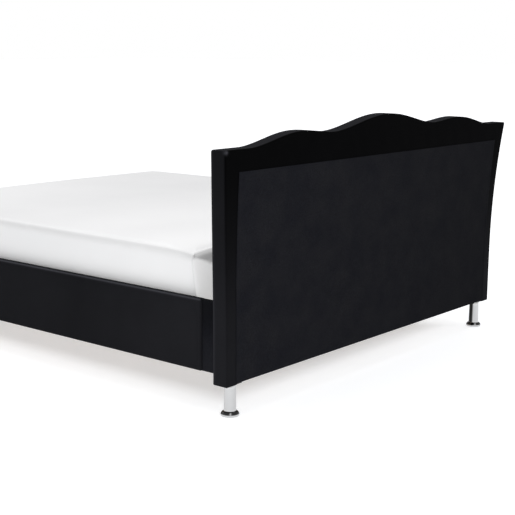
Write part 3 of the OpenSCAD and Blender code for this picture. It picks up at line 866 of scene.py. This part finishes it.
def make_rail_end_cloth(side):
    """Thin cloth pulled round the bare end of a rail; it starts under the padded cover."""
    name = "right" if side > 0 else "left"
    low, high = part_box(name + "_rail_end_wrap")
    outer = high.x if side > 0 else low.x

    def place(y, z, depth):
        return outer - side * depth, y, z

    outline = box_outline((low.y - RAIL_END_IN - WRAP_OVERLAP, low.z), (high.y, high.z), (1 * MM,) * 4)
    rings = edge_profile(high.x - low.x, 1.5 * MM, 1.5 * MM, sides=3, parts=4)
    wrap = slab(
        name + "_rail_end_cloth",
        outline,
        rings,
        place,
        steps(high.y - low.y, 5 * MM, WRAP_STEPS),
        steps(high.z - low.z, 9 * MM, WRAP_STEPS),
        lambda a, b: 0.4 * MM * waves(a, b, 0.06, 5),
        # Painted shade: the cloth is darker towards the top.
        shades={"tone": lambda a, b, depth: 1.15 - 0.6 * smooth((b - 0.2) / 0.2)},
    )
    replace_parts(dress(fix_normals(wrap), DUST_CLOTH), name + "_rail_end_wrap")
    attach(wrap, "frame")


def make_footboard():
    thick = foot_high.y - foot_low.y

    def place(x, z, depth):
        return x, foot_low.y + depth, z

    radii = (3 * MM, 3 * MM, 9 * MM, 9 * MM)
    outline = box_outline((foot_low.x, foot_low.z), (foot_high.x, foot_high.z), radii)
    us = steps(foot_high.x - foot_low.x, 14 * MM)
    vs = steps(foot_high.z - foot_low.z, 9 * MM)
    rings = edge_profile(thick, 10 * MM, 6 * MM, sides=6)
    board = slab(
        "footboard_upholstery",
        outline,
        rings,
        place,
        us,
        vs,
        lambda a, b: 0.8 * MM * waves(a, b, 0.4, 6),
        shades={"tone": edge_painted_highlight(foot_high.z)},
    )
    relax_face(board, us, vs, 0)
    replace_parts(dress(fix_normals(board), VELVET), "footboard_cover", "footboard_foam")
    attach(board, "frame")


# ------------------------------------------------------------------ mattress and sheet


SHEET_INSET = 9 * MM
SHEET_HEM = 70 * MM
HEM_TUCK = 16 * MM
END_LEAN = 12 * MM
CORNER_DROOP = 8 * MM
EXTRA_DROOP = 6 * MM
DROOP_REACH = 80 * MM
MATTRESS_STEPS = (3, 6, 10, 15, 20, 28, 38, 50)
SHEET_STEPS = (2, 4, 7, 10, 13, 17, 22, 28, 36, 44)


def bed_surface(inset):
    """place() for a slab as big as the mattress: corners droop, sides draw in towards the hem."""
    height = sheet_high.z - sheet_low.z
    middle = (sheet_high.y + sheet_low.y) / 2

    def place(x, y, depth):
        half = (sheet_high.y - sheet_low.y) / 2
        end = half - np.abs(y - middle) - inset
        squeeze = 18 * MM * (1 - np.exp(-end / (24 * MM)))
        y = middle + np.sign(y - middle) * (half - inset - end + squeeze)
        corner = np.hypot(sheet_high.x - np.abs(x), end)
        low = np.clip(depth / height, 0, 1)
        droop = (CORNER_DROOP + EXTRA_DROOP * x / sheet_high.x) * (1 - low) ** 2
        droop *= np.exp(-((corner / DROOP_REACH) ** 1.5))
        x = x - np.sign(x) * HEM_TUCK * smooth(low) * np.clip(np.abs(x) / sheet_high.x, 0, 1) ** 8
        y -= END_LEAN * (1 - low) * np.clip((y - middle) / half, -1, 1) ** 9
        return x, y, sheet_high.z - inset - depth - droop

    return place


def make_mattress():
    low = sheet_low + Vector((SHEET_INSET,) * 3)
    high = sheet_high - Vector((SHEET_INSET,) * 3)
    outline = box_outline((low.x, low.y), (high.x, high.y), (16 * MM,) * 4)
    rings = edge_profile(high.z - low.z, 34 * MM, 14 * MM, sides=8)
    us = steps(high.x - low.x, 40 * MM, fine=MATTRESS_STEPS)
    vs = steps(high.y - low.y, 40 * MM, fine=MATTRESS_STEPS)
    body = slab("mattress", outline, rings, bed_surface(SHEET_INSET), us, vs, sheet_relief)
    nodes = ("mattress_base_layer", "mattress_border", "mattress_springs", "mattress_top_layer")
    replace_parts(dress(fix_normals(body), TICKING), *nodes)
    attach(body, "mattress")


def sheet_relief(x, y):
    """Top of the sheet: a slight crown and a few long soft folds."""
    ex = sheet_high.x - np.abs(x)
    ey = np.minimum(y - sheet_low.y, sheet_high.y - y)
    middle = smooth(np.minimum(ex, ey) / 0.3)
    return 4 * MM - 3 * MM * middle + 1.0 * MM * waves(x, y, 0.5, 8) * middle


def sheet_shade(x, y, depth):
    """How far a point lies in the shade under the edge of the head end, next to the headboard."""
    end = smooth((y - (sheet_high.y - 26 * MM)) / (9 * MM)) * smooth((depth - 1 * MM) / (3 * MM))
    reach = 0.5 * np.minimum(sheet_high.x - np.abs(x), 130 * MM)
    return end * (1 - smooth((depth - reach) / (14 * MM)))


def sheet_painted_shading(x, y, depth):
    """Painted shade: the cloth is darker in that shade, most of all at its upper edge, and a little
    darker on its sides.
    """
    side = 0.05 * smooth((np.abs(x) - sheet_high.x + 26 * MM) / (18 * MM))
    shade = (0.45 - 0.25 * smooth(depth / (40 * MM))) * sheet_shade(x, y, depth)
    return (1 - side) * (1 - shade)


def sheet_painted_glow(x, y, depth):
    """Painted glow: light that the white cloth gives off of its own in place of light falling on it,
    more on the top than on the sides, and most on the head end outside its shade.
    """
    end = smooth((y - (sheet_high.y - 12 * MM)) / (10 * MM)) * smooth((depth - 1 * MM) / (4 * MM))
    side = smooth((np.abs(x) - sheet_high.x + 26 * MM) / (18 * MM))
    top = 0.24 + 0.06 * smooth((x + 0.6) / 1.2) + 0.15 * smooth((y - 0.4) / 0.5)
    top -= 0.13 * smooth((0.45 - y) / 0.8)
    low = 0.10 * smooth((y + 0.2) / 1.1) + 0.07 * smooth((depth - 20 * MM) / (130 * MM)) - 0.02
    return (1 - end) * (side * low + (1 - side) * top) + end * (0.57 - 0.37 * sheet_shade(x, y, depth))


def make_sheet():
    height = sheet_high.z - sheet_low.z
    outline = box_outline((sheet_low.x, sheet_low.y), (sheet_high.x, sheet_high.y), (15 * MM,) * 4)
    rings = edge_profile(height, 36 * MM, 16 * MM, parts=9, sides=14)
    rings += [(i, height) for i in (30 * MM, 50 * MM, SHEET_HEM)]
    us = steps(sheet_high.x - sheet_low.x, 14 * MM, SHEET_STEPS)
    vs = steps(sheet_high.y - sheet_low.y, 14 * MM, SHEET_STEPS)
    cloth = slab(
        "sheet",
        outline,
        rings,
        bed_surface(0),
        us,
        vs,
        sheet_relief,
        last_cap=False,
        shades={"tone": sheet_painted_shading, "glow": sheet_painted_glow},
    )
    fix_normals(cloth)
    count = len(cloth.data.vertices)
    hem_vertices = 2 * (len(us) + len(vs)) * 8
    pinned = np.arange(count) > count - hem_vertices
    settle(cloth, 0, count, pinned, pressure=0.4, slack=0.012, limit=5 * MM)
    thickness = cloth.modifiers.new("thickness", "SOLIDIFY")
    thickness.thickness = 1.2 * MM
    thickness.offset = -1
    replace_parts(dress(cloth, COTTON), "fitted_sheet")
    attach(cloth, "mattress")


# ------------------------------------------------------------------------------ legs


FOOT_RIM_Z = 8.5 * MM
FOOT_COLLAR_Z = 20.5 * MM
STUD_R = 5 * MM
STREAK_ANGLE = math.radians(44)


def leg_column(r, low_z, high_z):
    """[radius, height] points of a tube that tapers by a little more than a millimetre."""
    height = high_z - low_z - 4 * MM
    points = [(0, low_z), (r - 1.2 * MM, low_z)]
    points += [(r + 0.4 * MM, low_z + 0.8 * MM), (r + 0.7 * MM, low_z + 3 * MM)]
    for k in range(1, 7):
        points.append((r + 0.6 * MM - 1.3 * MM * k / 6, low_z + 3 * MM + height * k / 6))
    points += [(r - 1.6 * MM, high_z), (0, high_z)]
    return points


def foot_flange(r, foot_r, stud_top):
    """[radius, height] points of a levelling foot: upright rim, domed slope, collar and stud."""
    rim = FOOT_RIM_Z
    collar = FOOT_COLLAR_Z
    return [
        (0, 0),
        (foot_r - 2.5 * MM, 0),
        (foot_r - 0.8 * MM, 0.6 * MM),
        (foot_r, 2 * MM),
        (foot_r, rim - 1.2 * MM),
        (foot_r - 0.2 * MM, rim - 0.3 * MM),
        (foot_r - 0.6 * MM, rim + 0.1 * MM),
        (foot_r - 1.2 * MM, rim + 1.4 * MM),
        (foot_r - 3.0 * MM, rim + 4.4 * MM),
        (foot_r - 5.6 * MM, rim + 7.4 * MM),
        (foot_r - 8.6 * MM, rim + 9.9 * MM),
        (foot_r - 11.4 * MM, rim + 11.4 * MM),
        (r + 0.4 * MM, collar),
        (STUD_R, collar),
        (STUD_R, stud_top),
        (0, stud_top),
    ]


def tube_painted_reflection(outward):
    """Painted reflection: the half of a leg that faces the middle of the bed is darkened, as if it
    mirrored the black covers.
    """

    def tone(x, y, z):
        inward = -np.cos(np.arctan2(y, x) - outward)
        return 1 - 0.95 * smooth((inward - 0.25) / 0.3)

    return tone


def slope_painted_reflection(x, y, z):
    """Painted reflection: the slope of a foot is darkened as if it mirrored the black cover above it,
    but for one painted streak of highlight.
    """
    slope = smooth((z - FOOT_RIM_Z - 0.3 * MM) / (1 * MM))
    slope *= 1 - smooth((z - FOOT_COLLAR_Z + 1.5 * MM) / (1.5 * MM))
    off = np.arctan2(y, x) - STREAK_ANGLE
    streak = np.exp(-((np.arctan2(np.sin(off), np.cos(off)) / 0.11) ** 2))
    return 1 - slope * (0.93 - 0.9 * streak)


def make_leg(name):
    low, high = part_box(name + "_leg")
    centre = ((low.x + high.x) / 2, (low.y + high.y) / 2, 0)
    r = (high.x - low.x) / 2
    outward = math.atan2(centre[1], centre[0])
    column = leg_column(r, low.z, high.z)
    leg = lathe(name + "_leg_column", column, centre, tone=tube_painted_reflection(outward))
    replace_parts(dress(fix_normals(leg), CHROME), name + "_leg")
    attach(leg, "frame")

    low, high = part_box(name + "_foot")
    profile = foot_flange(r, (high.x - low.x) / 2, high.z)
    foot = lathe(name + "_foot_flange", profile, centre, tone=slope_painted_reflection)
    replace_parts(dress(fix_normals(foot), CHROME), name + "_foot")
    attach(foot, name + "_foot")


# ------------------------------------------------------------------------ CAD nodes

NODE_MATERIALS = {
    PINE_Z: ["headboard_posts", "headboard_uprights", "footboard_posts"],
    PINE_X: [
        "headboard_bottom_rail",
        "headboard_middle_rail",
        "headboard_top_board",
        "footboard_rails",
    ],
    PINE_Y: ["left_slat_ledge", "right_slat_ledge"],
    BOARD: [
        "headboard_front_board",
        "headboard_filler_board",
        "left_rail_board",
        "right_rail_board",
    ],
    BEECH: ["left_slats", "right_slats"],
    PLASTIC: [
        "left_slat_caps",
        "right_slat_caps",
        "centre_slat_caps",
        "beam_end_plugs",
        "leg_nut_inserts",
        "front_support_foot",
        "middle_support_foot",
        "rear_support_foot",
    ],
    BLACK_STEEL: [
        "head_rail_brackets",
        "foot_rail_brackets",
        "centre_beam",
        "beam_hangers",
        "support_legs",
        "leg_plates",
    ],
    ZINC: ["head_bracket_bolts", "foot_bracket_bolts", "rail_bracket_bolts", "leg_screws"],
}
EASED = ("slats", "ledge", "caps", "board", "posts", "rail", "rails", "brackets", "beam")


def dress_nodes():
    for material, names in NODE_MATERIALS.items():
        for name in names:
            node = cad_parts[name]
            dress(node, material)
            if name.endswith(EASED):
                edge = node.modifiers.new("eased_edges", "BEVEL")
                edge.width = 1 * MM
                edge.segments = 2
                edge.limit_method = "ANGLE"


# -------------------------------------------------------------- floor, light, camera


FLOOR_HALF = 60
UNDER_GLOW = 0.41
OPEN_GLOW = 0.65


def make_floor():
    """A pale floor with its own light, weaker under the bed: a painted shadow."""
    corners = [(-1, -1), (1, -1), (1, 1), (-1, 1)]
    verts = [(x * FLOOR_HALF, y * FLOOR_HALF, 0) for x, y in corners]
    floor = mesh_object("floor", verts, [(0, 1, 2, 3)])
    s = Shader("pale_floor", roughness=0.9, specular_ior_level=0.1)
    s.colour(s.mix(s.noise(0.8), (0.77, 0.77, 0.77), (0.81, 0.81, 0.81)))
    s.bsdf.inputs["Emission Color"].default_value = (0.965, 0.98, 1, 1)
    split = s.node("ShaderNodeSeparateXYZ")
    s.link(s.coords(), split.inputs["Vector"])
    out_x = s.maths("SUBTRACT", s.maths("ABSOLUTE", split.outputs["X"], 0), END_X)
    out_y = s.maths("SUBTRACT", s.maths("ABSOLUTE", split.outputs["Y"], 0), BACK_Y)
    outside = s.maths("MAXIMUM", out_x, out_y)
    # Painted shadow: the floor gives off less light under the bed.
    glow = s.ramp(s.maths("ADD", outside, 0.5), [(0.25, UNDER_GLOW), (0.37, OPEN_GLOW)])
    s.link(glow, s.bsdf.inputs["Emission Strength"])
    dress(floor, s.material)


def make_world():
    world = bpy.data.worlds.new("studio")
    world.use_nodes = True
    tree = world.node_tree
    where = tree.nodes.new("ShaderNodeTexCoord")
    split = tree.nodes.new("ShaderNodeSeparateXYZ")
    ramp = tree.nodes.new("ShaderNodeValToRGB")
    ramp.color_ramp.elements[0].position = 0.12
    ramp.color_ramp.elements[0].color = (1, 1, 1, 1)
    ramp.color_ramp.elements[1].position = 0.5
    ramp.color_ramp.elements[1].color = (0.72, 0.72, 0.73, 1)
    tree.links.new(where.outputs["Generated"], split.inputs["Vector"])
    tree.links.new(split.outputs["Z"], ramp.inputs["Fac"])
    tree.links.new(ramp.outputs["Color"], tree.nodes["Background"].inputs["Color"])
    tree.nodes["Background"].inputs["Strength"].default_value = 1.0
    bpy.context.scene.world = world
    bpy.context.scene.view_settings.view_transform = "Standard"


def area_light(name, at, target, size, power):
    data = bpy.data.lights.new(name, "AREA")
    data.shape = "RECTANGLE"
    data.size, data.size_y = size
    data.energy = power
    lamp = bpy.data.objects.new(name, data)
    lamp.location = at
    lamp.rotation_mode = "QUATERNION"
    lamp.rotation_quaternion = (Vector(target) - Vector(at)).to_track_quat("-Z", "Y")
    bpy.context.scene.collection.objects.link(lamp)


CAMERA_AT = (3.850, BACK_Y + 2.557, 1.3225)
CAMERA_AZIMUTH = math.radians(129.758)
CAMERA_ELEVATION = math.radians(10.679)
CAMERA_ROLL = math.radians(0.322)
CAMERA_LENS = 79.85


def make_camera():
    level = math.cos(CAMERA_ELEVATION)
    back = Vector((
        math.sin(CAMERA_AZIMUTH) * level,
        -math.cos(CAMERA_AZIMUTH) * level,
        math.sin(CAMERA_ELEVATION),
    ))
    data = bpy.data.cameras.new("camera")
    data.lens = CAMERA_LENS
    data.sensor_width = 36
    camera = bpy.data.objects.new("camera", data)
    camera.location = CAMERA_AT
    camera.rotation_mode = "QUATERNION"
    turn = Quaternion((0, 0, 1), CAMERA_ROLL)
    camera.rotation_quaternion = (-back).to_track_quat("-Z", "Y") @ turn
    bpy.context.scene.collection.objects.link(camera)
    bpy.context.scene.camera = camera


make_camera()
make_headboard()
make_buttons()
make_dust_cover()
for hand in (1, -1):
    make_rail(hand)
    make_rail_end_cloth(hand)
make_footboard()
make_mattress()
make_sheet()
for end in ("rear", "front"):
    for hand in ("left", "right"):
        make_leg(f"{end}_{hand}")
dress_nodes()
make_floor()
make_world()
area_light("side_softbox", (4.5, -2.0, 2.2), (0, 0, 0.4), (3, 2), 4)
area_light("foot_softbox", (1.0, -4.5, 3.2), (0, 0.6, 0.5), (3, 2), 50)
